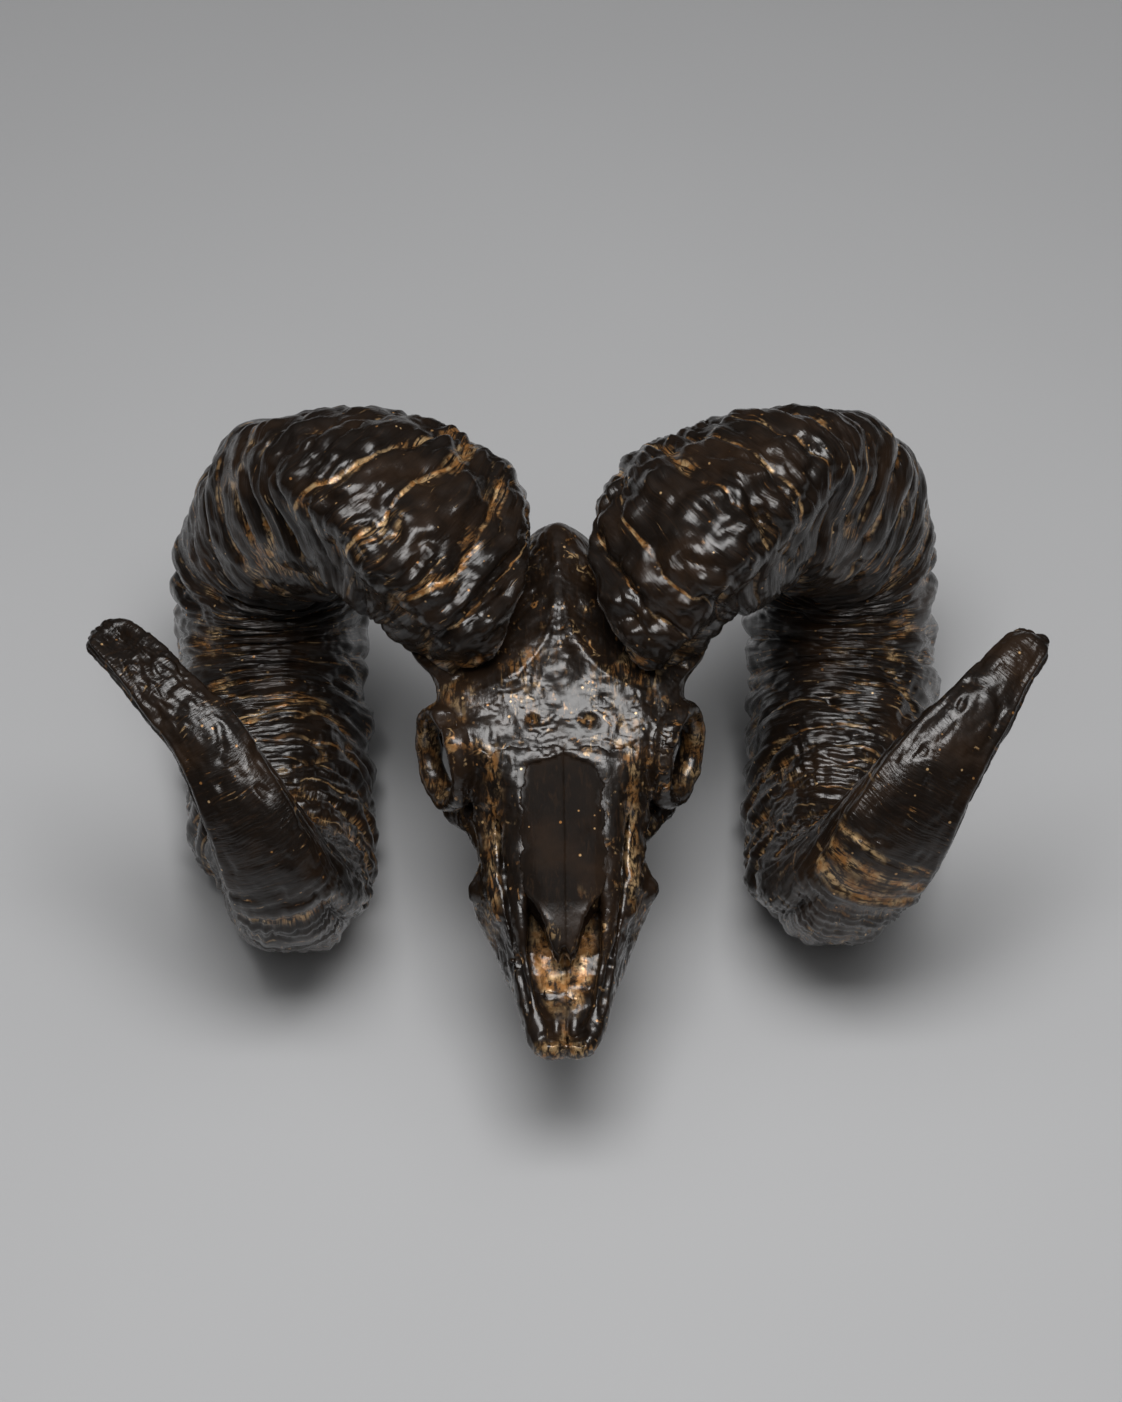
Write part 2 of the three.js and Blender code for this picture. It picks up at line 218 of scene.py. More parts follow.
# How far from the rim's edge, the corner and the inner side's edge the base is rounded, and how deep.
BASE_ROUNDINGS = (11.0, 8.0), (8.0, 6.0), (11.0, 7.0)
BASE_END = 2.7  # the station where the base no longer reaches the rim
GIRTH = 45.0  # a typical radius of the section, for noise that follows the horn

# The deep grooves across the front of each horn near its base: the station where each crosses the middle of
# the front, how far it leans from the inner keel to the outer one, and how much it bows.
GROOVES = {
    "right": [(0.62, -0.1, 0.1), (1.12, -0.16, 0.16), (1.62, -0.16, 0.22), (2.1, -0.1, 0.16),
              (2.48, 0.1, 0.1), (2.92, 0.1, 0.1), (3.3, 0.0, 0.1)],
    "left": [(0.62, -0.1, 0.1), (1.12, -0.24, 0.12), (1.58, -0.2, 0.16), (2.12, -0.16, 0.1),
             (2.5, -0.05, 0.1), (2.82, 0.0, 0.1), (3.2, 0.0, 0.1)],
}
GROOVE_SPACING = 23.0  # along the outside, past the last of those
INNER_KEEL, FRONT, OUTER_KEEL = 52.0, 105.0, 158.0  # angles round the section, in degrees

# Heights in mm of the shapes on the horn's surface.
SWELLINGS, LESSER_SWELLINGS = 6.8, 3.0  # between the growth grooves
CREASES = 2.6  # across the front
FOLDS, SMALL_FOLDS = 5.2, 1.5  # down the sides
RUNGS = 2.4  # on the inside of the curl
TERRACES = 2.2  # where the loop turns up to the limb
GRAIN, SLOTS = 1.7, 1.2  # along the shaded sides
KNUCKLES = 2.6  # on the outer keel
FURROW = 3.5  # behind it
LUMPS = 3.0  # all over, like wax
OFFSET, FRONT_OFFSET = 0.8, 0.8  # of the whole surface from the smooth one, and of the front besides
FRONT_CAVITY = 2.9  # taken off the front's measure of hollowness, so that gold stays in its deepest places

# Gold bands across each limb's top: the station at the inner edge, the change to the outer edge, the width.
BANDS = {
    "right": [(10.0, 0.15, 0.05)],
    "left": [(10.38, -0.05, 0.09), (10.62, -0.05, 0.06), (10.84, -0.04, 0.03)],
}


def horn_lines(side, at):
    """The centre, the tangent and the two cross directions at places along a horn, and the section's size."""
    stations = HORN + LIMBS[side]
    sign = SIGNS[side]

    def centre(where):
        row = through(stations, where)
        turn = np.radians(row[..., 0])
        return np.stack([
            sign * row[..., 2],
            COIL_Y - COIL_REACH * row[..., 1] * np.cos(turn),
            COIL_Z + COIL_RISE * row[..., 1] * np.sin(turn),
        ], -1)

    def unit(v):
        return v / np.linalg.norm(v, axis=-1, keepdims=True)

    last = len(stations) - 1
    row = through(stations, at)
    turn = np.radians(row[..., 0])
    tangent = unit(centre(np.clip(at + 0.05, 0, last)) - centre(np.clip(at - 0.05, 0, last)))
    outward = np.stack([0 * turn, -np.cos(turn) / COIL_REACH, np.sin(turn) / COIL_RISE], -1)
    outward = unit(outward - tangent * (outward * tangent).sum(-1, keepdims=True))
    across = np.cross(tangent, outward) * -sign
    return centre(at), tangent, outward, across, row[..., 3] / 2, row[..., 4] / 2


def horn_points(side, at, angle):
    """Points on the smooth horn, for arrays of places along it and of angles round it."""
    middle, _, outward, across, half_width, half_depth = horn_lines(side, at)

    def squared(v):
        return np.sign(v) * np.abs(v) ** (2 / SQUARENESS)

    n = squared(np.sin(angle))
    u = squared(np.cos(angle)) * (1 - NARROWING * (1 - n) / 2)
    return middle + across * (u * half_width)[..., None] + outward * (n * half_depth)[..., None]


def leaning(degrees):
    """-1 at the inner keel, 1 at the outer one, and fading out behind them. And a bow from keel to keel."""
    lean = (degrees - FRONT) / (OUTER_KEEL - FRONT)
    most, gone = 1.6, 3.0
    lean = np.where(np.abs(lean) < most, lean, most * np.sign(lean) * (1 - smooth(most, gone, np.abs(lean))))
    return lean, np.clip(np.abs(lean), 0, 1) ** 2 - 0.5


def groove_count(side, at, degrees, run):
    """A number that rises by one from each growth groove of the horn to the next."""
    lean, bow = leaning(degrees)
    marks = GROOVES[side]
    count = np.zeros(at.shape)
    edges = [station + tilt * lean + bend * bow for station, tilt, bend in marks]
    before = 0 * at - 0.2
    for number, edge in enumerate(edges):
        count = np.where(at >= before, number + np.clip((at - before) / (edge - before), 0, 1), count)
        before = edge
    beyond = np.clip(at - before, 0, None)
    first = np.argmin(np.abs(at[:, 0] - marks[-1][0]))
    later = np.clip(run - run[first], 0, None) / GROOVE_SPACING
    return count + np.where(beyond > 0, later, 0)


def pillow(count, seed, sharpness=0.5):
    """Rounded swellings between sharp grooves, each with its own height."""
    heights = 0.75 + 0.5 * np.random.default_rng(seed).random(400)
    whole = np.floor(count)
    part = count - whole
    return (4 * part * (1 - part)) ** sharpness * heights[whole.astype(int) % 400]


def creased(values, gain=1.7, sharpness=0.75):
    """Smooth noise as round swellings of 0 to 1 between creases."""
    return np.minimum(np.abs(values) * gain, 1) ** sharpness


def horn_relief(side, at, degrees, run, lines, points):
    """How far the horn's surface stands off the smooth one in mm, and the masks for its finish.

    at is the station, degrees the angle round the section, run the distance along the horn and lines that of
    the growth line through the point.
    """
    seed = HORN_SEEDS[side]
    girth = np.radians(degrees)
    skew = girth + 0.0035 * run
    lines = lines + 5.0 * noise(points, 45, seed + 40) + 2.0 * noise(points, 16, seed + 41)
    lie = np.stack([np.cos(girth) * GIRTH, np.sin(girth) * GIRTH, lines], -1)
    fibre = np.stack([np.cos(skew) * GIRTH, np.sin(skew) * GIRTH, run], -1)

    def streaks(way, round_size, length_size, which):
        """Noise drawn out round the horn or along it."""
        return noise(way / np.array([round_size, round_size, length_size]), 1.0, seed + which)

    # Where each kind of surface lies: 1 inside its part of the horn, fading to 0 around it.
    front = smooth(38, 58, degrees) * smooth(171, 152, degrees) * smooth(3.9, 3.0, at)
    limb_top = smooth(9.9, 10.4, at) * smooth(20, 38, degrees) * smooth(142, 126, degrees)
    limb = smooth(9.7, 10.6, at)
    side_folds = (1 - front) * smooth(9.3, 7.9, at)
    rungs = smooth(4.6, 5.4, at) * smooth(8.8, 7.8, at) * bump(262, 30, degrees)
    grain = smooth(6.2, 8.0, at) * (1 - limb_top) * (1 - 0.7 * rungs)
    terrace = (smooth(8.9, 9.3, at) * smooth(10.7, 10.3, at)
               * smooth(10, 30, degrees) * smooth(160, 140, degrees))

    # Swellings between grooves across the front, and folds that follow the growth lines down the sides.
    wander = noise(points, 38, seed) * 0.16 + noise(points, 13, seed + 1) * 0.06
    rings = groove_count(side, at, degrees, run) + wander
    depth = 0.5 + 0.5 * smooth(-0.35, 0.25, noise(points, 34, seed + 2))
    relief = SWELLINGS * front * depth * (pillow(rings, seed, 0.5) - 1.1)
    lesser = pillow(2 * rings + 0.5 + 0.4 * noise(points, 20, seed + 4), seed + 5, 0.6)
    some = smooth(-0.25, 0.3, noise(points, 40, seed + 8))
    relief += LESSER_SWELLINGS * front * some * (lesser - 0.9)
    relief += front * CREASES * (creased(streaks(lie, 30, 12, 33)) - 0.65)
    relief += side_folds * (FOLDS * creased(streaks(lie, 55, 24, 30)) - 3.0)
    relief += side_folds * (SMALL_FOLDS * creased(streaks(lie, 34, 11, 31)) - 0.8)
    relief += (0.4 * side_folds + 0.12 * front) * streaks(lie, 22, 4.4, 32)
    rung_count = (run + 3 * noise(points, 18, seed + 6)) / 6.8
    relief += rungs * (RUNGS * pillow(rung_count, seed + 7, 0.7) - 1.4)
    relief += terrace * (TERRACES * creased(streaks(lie, 80, 7, 34)) - 1.2)

    # Long grain with narrow slots, on the shaded sides and round the bottom of the loop.
    relief += grain * (GRAIN * creased(streaks(fibre, 7.0, 60, 35)) - 1.3)
    relief += grain * 0.35 * streaks(fibre, 3.8, 30, 36)
    relief -= grain * SLOTS * smooth(0.3, 0.6, streaks(fibre, 4.6, 22, 37))
    detail = relief.copy()

    # The outer keel is a row of knuckles, with a furrow behind it. The inner one and the limb's two edges are
    # low ridges.
    knuckles = pillow((lines + 3 * noise(points, 20, seed + 10)) / 14.5, seed + 11, 0.6)
    keel = bump(OUTER_KEEL - 6, 17, degrees) * smooth(0.7, 1.1, at)
    relief += keel * smooth(3.8, 3.0, at) * (0.6 + KNUCKLES * knuckles)
    outside = bump(120, 46, degrees) * smooth(3.0, 3.8, at) * smooth(7.4, 6.2, at)
    relief += outside * (KNUCKLES * knuckles - 1.6)
    relief -= FURROW * bump(188, 17, degrees) * smooth(0.9, 1.4, at) * smooth(3.8, 3.0, at)
    relief += 1.6 * bump(INNER_KEEL, 12, degrees) * smooth(0.8, 1.5, at) * smooth(5.5, 4.0, at)
    limb_edges = smooth(9.9, 10.9, at) * smooth(15.6, 14.4, at)
    relief += limb_edges * (1.7 * bump(131, 9, degrees) + 1.5 * bump(32, 9, degrees))

    # Wax-like lumps, folds and dents.
    soft = LUMPS * noise(warped(points, 30, 8.0, seed + 3), 24, seed + 12)
    soft += (1.1 + 0.8 * front) * noise(warped(points, 14, 5.0, seed + 20), 11, seed + 13)
    relief += soft * (0.45 + 0.6 * front - 0.1 * limb)
    wax = creased(noise(warped(points, 16, 10.0, seed + 24), 12, seed + 25), 4.0) - 1
    relief += 0.35 * wax
    dents = smooth(0.32, 0.7, noise(points, 9, seed + 14))
    relief -= dents * (0.9 + 0.3 * limb_top)
    crisp = creased(noise(warped(points, 7, 4.0, seed + 15), 5.2, seed + 18), 3.0) - 0.7
    relief += 0.2 * crisp

    bands = 0 * at
    for station, change, width in BANDS[side]:
        middle = station + change * (degrees - 30) / 90 + 0.02 * noise(points, 14, seed + 42)
        bands += bump(middle, width, at)
    bands *= smooth(18, 32, degrees) * smooth(140, 122, degrees)
    relief -= 0.5 * bands
    masks = {"rings": rings, "front": front, "grain": grain, "top": limb_top, "bands": bands,
             "cavity": -(detail + 0.6 * wax + crisp) - FRONT_CAVITY * front, "lie": lie, "fibre": fibre,
             "station": at, "lacquer": 0 * at + 1}

    # Local changes to the outline.
    middle, reach, corner_loss = CORNER_LOSS[side]
    corner = bump(middle, reach, degrees) * smooth(0.8, 1.4, at) * smooth(3.9, 3.0, at)
    shoulder = bump(148, 24, degrees) * smooth(3.2, 4.0, at) * smooth(5.3, 4.6, at)
    heel = bump(155, 30, degrees) * smooth(7.3, 8.3, at) * smooth(10.3, 9.4, at)
    inner = bump(12, 34, (degrees + 180) % 360 - 180) * smooth(2.9, 2.1, at)
    toe = bump(40, 26, degrees) * smooth(7.9, 8.8, at) * smooth(10.4, 9.6, at)
    relief += INNER_GAIN[side] * inner
    relief -= corner_loss * corner + SHOULDER_LOSS[side] * shoulder + HEEL_LOSS[side] * heel + TOE_LOSS * toe
    return relief + OFFSET + FRONT_OFFSET * front, masks


def broken_tip(side, at, degrees, points):
    """Relief in mm: the right horn's tip is hollowed and pitted on top, and the left one's is knobbed."""
    end = len(HORN + LIMBS[side]) - 1
    if side == "right":
        hollow = bump(end - 1.5, 0.85, at) * bump(78, 34, degrees)
        worn = smooth(end - 4.0, end - 3.2, at) * bump(75, 45, degrees)
        pits = creased(noise(warped(points, 9, 5.0, 71), 6.5, 72), 2.5) - 1
        return -6.5 * hollow + 1.5 * worn * pits + 1.0 * noise(points, 9, 73) * smooth(end - 3, end, at)
    near = smooth(end - 1.5, end - 0.2, at)
    knobs = np.abs(np.cos(1.5 * np.radians(degrees) + 0.4)) ** 0.6 - 0.7
    lumps = 1.2 * smooth(end - 3, end, at) * noise(points, 8, 75)
    return near * (5.2 * knobs + 1.6 * noise(points, 6, 74)) + lumps


def base_cuts(sign):
    """The flat faces of a horn's base, each as a point and a unit direction."""
    rim_point, rim_way = flipped(RIM, sign)
    side_point, side_way = flipped(PARTING, sign)
    rim_share, side_share, depth = CORNER
    way = rim_share * rim_way + side_share * side_way
    way /= np.linalg.norm(way)
    both = np.array([rim_way, side_way])
    reach = np.array([rim_way @ rim_point, side_way @ side_point])
    spot = rim_point + np.linalg.lstsq(both, reach - both @ rim_point, rcond=None)[0]
    corner = spot + way * depth
    return {"rim": (rim_point, rim_way), "corner": (corner, way), "parting": (side_point, side_way)}


def flipped(cut, sign):
    """A cut given for the animal's left, on either side, as a point and a unit direction."""
    (x, y, z), (a, b, c) = cut
    way = np.array([sign * a, b, c], float)
    return np.array([sign * x, y, z], float), way / np.linalg.norm(way)


def make_horn(side, material):
    sign = SIGNS[side]
    end = len(HORN + LIMBS[side]) - 1
    every = np.linspace(0, end, 4000)
    outside = horn_points(side, every, np.full_like(every, math.pi / 2))
    length = np.concatenate([[0], np.cumsum(np.linalg.norm(np.diff(outside, axis=0), axis=1))])
    places = np.interp(np.linspace(0, length[-1], HORN_ROWS), length, every)
    angles = np.arange(HORN_SIDES) * 2 * math.pi / HORN_SIDES
    at, angle = np.meshgrid(places, angles, indexing="ij")
    degrees = np.degrees(angle)
    run = np.interp(at, every, length)
    lean, bow = leaning(degrees)
    lines = np.interp(at - (0.16 * bow - 0.14 * lean) * smooth(3.6, 2.6, at), every, length)
    points = horn_points(side, at, angle)
    round_way = np.roll(points, -1, 1) - np.roll(points, 1, 1)
    normals = np.cross(round_way, np.gradient(points, axis=0)) * sign
    normals /= np.linalg.norm(normals, axis=-1, keepdims=True)
    relief, masks = horn_relief(side, at, degrees, run, lines, points)
    relief += broken_tip(side, at, degrees, points)

    # The base turns in to the bone in a round edge.
    cuts = base_cuts(sign)
    upper = smooth(-20, 25, (degrees + 180) % 360 - 180) * smooth(250, 200, degrees)
    for (spot, way), (rounding, deep) in zip(cuts.values(), BASE_ROUNDINGS):
        tuck = np.clip(1 - ((points - spot) @ way) / rounding, 0, 1) * smooth(BASE_END, BASE_END - 0.6, at)
        relief -= deep * (1 - np.sqrt(1 - tuck**2)) * upper
    solid = points + normals * relief[..., None]

    # The tip closes in a low dome.
    middle, tangent = (lines_there[-1] for lines_there in horn_lines(side, places)[:2])
    caps = []
    for step in np.linspace(0, 1, TIP_ROWS)[1:-1]:
        turn = step * math.pi / 2
        ring = middle + (solid[-1] - middle) * math.cos(turn) + tangent * TIP_DOME * math.sin(turn)
        caps.append(ring + tangent * (0.8 * noise(ring, 4, 75) * math.cos(turn))[:, None])
    rows = np.concatenate([solid, np.array(caps)])
    count = len(rows)
    tip = (middle + tangent * TIP_DOME)[None]
    butt = solid[0].mean(0)[None]
    vertices = np.concatenate([rows.reshape(-1, 3), tip, butt])
    index = np.arange(count * HORN_SIDES).reshape(count, HORN_SIDES)
    nxt = np.roll(index, -1, 1)
    quads = np.stack([index[:-1], nxt[:-1], nxt[1:], index[1:]], -1).reshape(-1, 4)
    tip_index, butt_index = count * HORN_SIDES, count * HORN_SIDES + 1
    fans = [(a, b, tip_index) for a, b in zip(index[-1], nxt[-1])]
    fans += [(b, a, butt_index) for a, b in zip(index[0], nxt[0])]
    faces = quads.tolist() + [list(map(int, fan)) for fan in fans]
    if sign > 0:
        faces = [face[::-1] for face in faces]

    mesh = bpy.data.meshes.new(f"horn_{side}_surface")
    mesh.from_pydata(vertices, [], faces)
    for name, values in masks.items():
        tail = np.repeat(values[-1:], len(caps), 0)
        ends = np.stack([values[-1].mean(0), values[0].mean(0)])
        wide = values.shape[2:]
        whole = np.concatenate([values.reshape(-1, *wide), tail.reshape(-1, *wide), ends])
        kind, field = ("FLOAT_VECTOR", "vector") if wide else ("FLOAT", "value")
        mesh.attributes.new(name, kind, "POINT").data.foreach_set(field, whole.astype(np.float32).ravel())

    # The base is cut flat at the rim, the corner and the mid-plane, and the whole horn at the ground.
    shape = bmesh.new()
    shape.from_mesh(mesh)
    cuts["ground"] = (np.array([0, 0, GROUND_Z]), np.array([0, 0, 1.0]))
    station = shape.verts.layers.float["station"]
    for cut_name, (spot, way) in cuts.items():
        verts = shape.verts[:]
        if cut_name in ("rim", "corner"):
            verts = [vert for vert in verts if vert[station] < BASE_END]
        touched = set(verts)
        edges = [edge for edge in shape.edges if all(vert in touched for vert in edge.verts)]
        sides = [face for face in shape.faces if all(vert in touched for vert in face.verts)]
        cut = bmesh.ops.bisect_plane(
            shape, geom=verts + edges + sides, plane_co=spot, plane_no=way, clear_inner=True,
        )
        edges = [item for item in cut["geom_cut"] if isinstance(item, bmesh.types.BMEdge)]
        bmesh.ops.edgenet_fill(shape, edges=edges)
    bmesh.ops.triangulate(shape, faces=[f for f in shape.faces if len(f.verts) > 4])
    for vert in shape.verts:
        vert.co = Vector(place(vert.co))
    shape.to_mesh(mesh)
    shape.free()
    mesh.polygons.foreach_set("use_smooth", [True] * len(mesh.polygons))
    mesh.materials.append(material)
    piece = add(f"horn_{side}_surface", mesh)
    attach(piece, "root")
    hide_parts(*(f"horn_{side}_{number}" for number in range(1, 7)))


# ---- Skull ----

# Stations along the skull: y, the height of its top, the half width and height of the roof's edge, the same
# where its side is widest, and the same of its lower edge.
SKULL = [
    (4, 13, 9, 13, 14, 10, 12, 5), (10, 16, 12, 16, 17, 11, 14, 3), (20, 20, 15, 20, 19.5, 13, 16, 2),
    (34, 32, 18, 28, 23, 16, 19, 3), (52, 46, 22, 41, 27, 19, 25, 0), (70, 56, 24, 50, 33, 21, 30, 0),
    (86, 63, 25, 57, 41, 25, 34, 0), (102, 70, 27, 64, 38, 31, 35, 0), (118, 77, 34, 71, 36, 37, 32, 2),
    (134, 84, 47, 78, 35, 44, 24, 10), (150, 91, 55, 82, 36, 48, 20, 14),
    (166, 98, 57, 84, 40, 54, 20, 12), (186, 107, 50, 86, 42, 56, 22, 10),
    (206, 114, 36, 90, 43, 54, 24, 8), (226, 118, 30, 92, 42, 50, 26, 8),
    (244, 116, 26, 86, 39, 46, 28, 10), (256, 96, 18, 72, 30, 44, 20, 16),
]
VOXEL = 0.95  # the spacing of the grid, which keeps every bone under 200,000 triangles
GRID_LOW = np.array([0.0, -2.0, -14.0])
GRID_HIGH = np.array([80.0, 274.0, 128.0])
OUTSIDE = 6.0  # the farthest distance that the grid keeps


class Field:
    """Signed distances in mm on a grid over the skull's left half, which is mirrored at the end."""

    def __init__(self):
        count = np.ceil((GRID_HIGH - GRID_LOW) / VOXEL).astype(int)
        self.axes = [GRID_LOW[a] + VOXEL * np.arange(count[a]) for a in range(3)]
        self.values = np.full(count, OUTSIDE, np.float32)

    def block(self, low, high):
        """The slices and the coordinates of the grid's points in a box."""
        first = [max(0, int((low[a] - GRID_LOW[a]) / VOXEL)) for a in range(3)]
        last = [int((high[a] - GRID_LOW[a]) / VOXEL) + 2 for a in range(3)]
        slices = tuple(slice(*ends) for ends in zip(first, last))
        shapes = ((-1, 1, 1), (1, -1, 1), (1, 1, -1))
        return slices, [self.axes[a][slices[a]].reshape(shapes[a]).astype(np.float32) for a in range(3)]

    def join(self, shape, low, high, blend=2.0):
        """Adds a shape, given with the box round it. blend is how far it flows into what is there."""
        self.change(shape, low, high, blend, 1)

    def carve(self, shape, low, high, blend=2.0):
        """Takes a shape away."""
        self.change(shape, low, high, blend, -1)

    def change(self, shape, low, high, blend, sign):
        """Joins a shape if sign is 1, and carves it if sign is -1."""
        margin = blend + 2
        slices, spots = self.block(np.array(low) - margin, np.array(high) + margin)
        old = self.values[slices] * sign
        new = shape(*spots).astype(np.float32)
        share = np.clip(0.5 + 0.5 * (old - new) / blend, 0, 1)
        self.values[slices] = sign * (old + (new - old) * share - blend * share * (1 - share))


def egg(x, y, z, rx, ry, rz):
    """An ellipsoid, as a shape and the box round it."""
    small = min(rx, ry, rz)

    def shape(px, py, pz):
        return (np.sqrt(((px - x) / rx) ** 2 + ((py - y) / ry) ** 2 + ((pz - z) / rz) ** 2) - 1) * small

    return shape, (x - rx, y - ry, z - rz), (x + rx, y + ry, z + rz)


def rod(start, end, start_radius, end_radius=None, flat=1.0):
    """A rod with round ends, as a shape and the box round it. flat is its height as a share of its width."""
    end_radius = start_radius if end_radius is None else end_radius
    ax, ay, az = start
    bx, by, bz = (end[k] - start[k] for k in range(3))
    length = bx * bx + by * by + bz * bz

    def shape(px, py, pz):
        share = np.clip(((px - ax) * bx + (py - ay) * by + (pz - az) * bz) / length, 0, 1)
        dx, dy, dz = px - ax - bx * share, py - ay - by * share, (pz - az - bz * share) / flat
        return np.sqrt(dx * dx + dy * dy + dz * dz) - (start_radius + (end_radius - start_radius) * share)

    wide = max(start_radius, end_radius) * max(1, flat)
    low = [min(start[k], end[k]) - wide for k in range(3)]
    high = [max(start[k], end[k]) + wide for k in range(3)]
    return shape, low, high


def chain(field, route, radii, blend=2.0, carve=False, flat=1.0):
    """A row of rods from point to point, joined or carved."""
    for (start, end), (first, second) in zip(zip(route, route[1:]), zip(radii, radii[1:])):
        shape, low, high = rod(start, end, first, second, flat)
        (field.carve if carve else field.join)(shape, low, high, blend)


def skull_core(field):
    """The body of the skull, from its stations, as distances from the middle of each section."""
    x, z = np.meshgrid(field.axes[0], field.axes[2], indexing="ij")
    ys = [row[0] for row in SKULL]
    for j, y in enumerate(field.axes[1]):
        at = np.interp(y, ys, np.arange(len(SKULL)))
        _, top, edge, edge_z, wide, wide_z, low, low_z = through(SKULL, np.array(at))
        corners = [(0, top), (edge, edge_z), (wide, wide_z), (low, low_z), (0, low_z), (-low, low_z),
                   (-wide, wide_z), (-edge, edge_z)]
        loop = through(corners[-2:] + corners + corners[:3], np.linspace(2, 10, 129))
        middle = (top + low_z) / 2
        reach = np.hypot(loop[:, 0], loop[:, 1] - middle)
        turn = np.arctan2(loop[:, 0], loop[:, 1] - middle)
        order = np.argsort(turn)
        away = np.hypot(x, z - middle)
        edge_at = np.interp(np.arctan2(x, z - middle), turn[order], reach[order])
        ends = max(ys[0] - y, y - ys[-1])
        distance = np.maximum((away - edge_at) * 0.8, ends)
        field.values[:, j, :] = np.minimum(distance, OUTSIDE)


EYE = (55, 142, 59)
EYE_RADIUS = 22
EYE_RIM_THICK, EYE_RIM_WIDE = 4.2, 6.2  # half of the rim's section
EYE_FORWARD, EYE_UP = math.radians(22), math.radians(8)
EYE_AXIS = (
    math.cos(EYE_UP) * math.cos(EYE_FORWARD), -math.cos(EYE_UP) * math.sin(EYE_FORWARD), math.sin(EYE_UP),
)


def eye_band(px, py, pz):
    """The rim of the eye socket: a hoop that is wider than it is thick."""
    dx, dy, dz = px - EYE[0], py - EYE[1], pz - EYE[2]
    along = dx * EYE_AXIS[0] + dy * EYE_AXIS[1] + dz * EYE_AXIS[2]
    out = np.sqrt(np.maximum(dx * dx + dy * dy + dz * dz - along * along, 0))
    across = (out - EYE_RADIUS) / EYE_RIM_THICK
    return (np.sqrt(across**2 + (along / EYE_RIM_WIDE) ** 2) - 1) * EYE_RIM_THICK


# The routes of the bar under the eye, the groove beside the nose and the ridge down the face.
CHEEK = [(31, 102, 29), (37, 120, 30), (49, 135, 30), (61, 150, 35), (62, 168, 42), (50, 187, 47),
         (34, 202, 50)]
GROOVE = [(31, 124, 62), (29, 112, 59), (28, 97, 54), (27, 78, 47), (24, 60, 38), (21, 40, 27),
          (17, 20, 19)]
CREST = [(36, 126, 54), (35, 112, 49), (33, 96, 44), (32, 80, 39), (30, 66, 34)]
# The open nose: y, half width and height of its floor.
TROUGH = [(12, 6.5, 14), (24, 12, 14), (43, 16, 17), (52, 17, 21), (60, 17, 28), (68, 15, 40)]
PITS = (13.3, 140.0)  # over the eyes, beside the mid-plane
MOLARS = 6
MOLAR_Y, MOLAR_LENGTH = 63.5, 11.3  # the first one's place and the spacing
MOLAR_X, MOLAR_SPREAD = 23.7, 1.3  # the first one's distance from the mid-plane, and each step outward


def trough(px, py, pz):
    """The open space between the two bars of the upper jaw's tip."""
    ys, halves, floors = np.array(TROUGH).T
    half = np.interp(py, ys, halves)
    floor = np.interp(py, ys, floors) - 2.0 * (1 - (np.minimum(np.abs(px), half) / half) ** 2)
    walls = np.maximum(np.abs(px) - half, np.maximum(ys[0] - py, py - ys[-1]))
    return np.maximum(walls, floor - pz)


